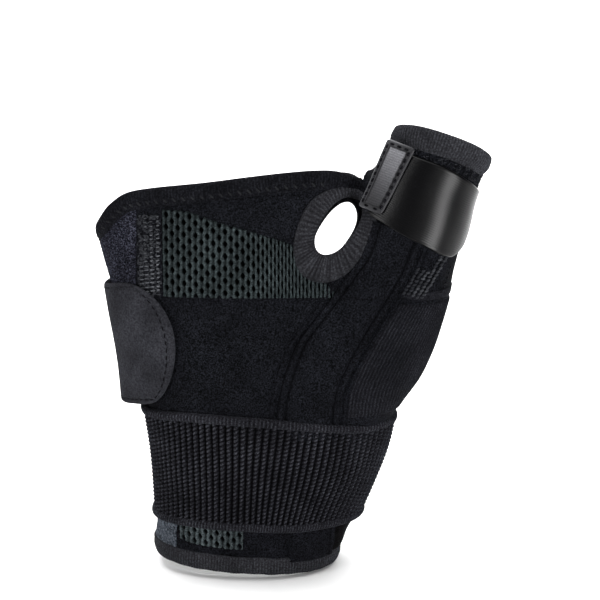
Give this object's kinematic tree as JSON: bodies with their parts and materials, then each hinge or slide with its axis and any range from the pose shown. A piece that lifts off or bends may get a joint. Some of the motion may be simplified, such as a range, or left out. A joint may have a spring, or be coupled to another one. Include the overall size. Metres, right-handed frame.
{
  "type": "thumb spica splint",
  "caption": "Right-hand thumb splint: padded fabric sleeve with a thumb tube, web opening and mesh palm panel, ribbed elastic wrist strap, tabbed palm strap and smooth thumb strap, as worn.",
  "frame": {"origin": "centre of the wrist opening, at the sleeve's lower edge", "axes": "+Z from the wrist to the fingers, +X to the thumb side, -Y out of the palm, +Y out of the back of the hand"},
  "size_m": [0.1387, 0.0524, 0.162],
  "materials": {
    "fleece": "brushed loop fleece",
    "tape": "fine-ribbed tape",
    "mesh": "open net",
    "knit": "ribbed elastic knit",
    "suede": "suede-like",
    "satin": "glossy ribbed satin",
    "tab": "glossy stitched patch"
  },
  "bodies": {
    "root": {"sleeve": "fleece", "finger_edge_tape": "tape", "wrist_edge_tape": "tape", "thumb_edge_tape": "tape", "web_tape_palm": "tape", "web_tape_back": "tape", "mesh_panel": "mesh", "stay_pocket": "fleece", "wrist_strap": "knit", "palm_strap": "suede", "thumb_strap": "satin", "thumb_strap_tab": "tab"}
  },
  "joints": []
}
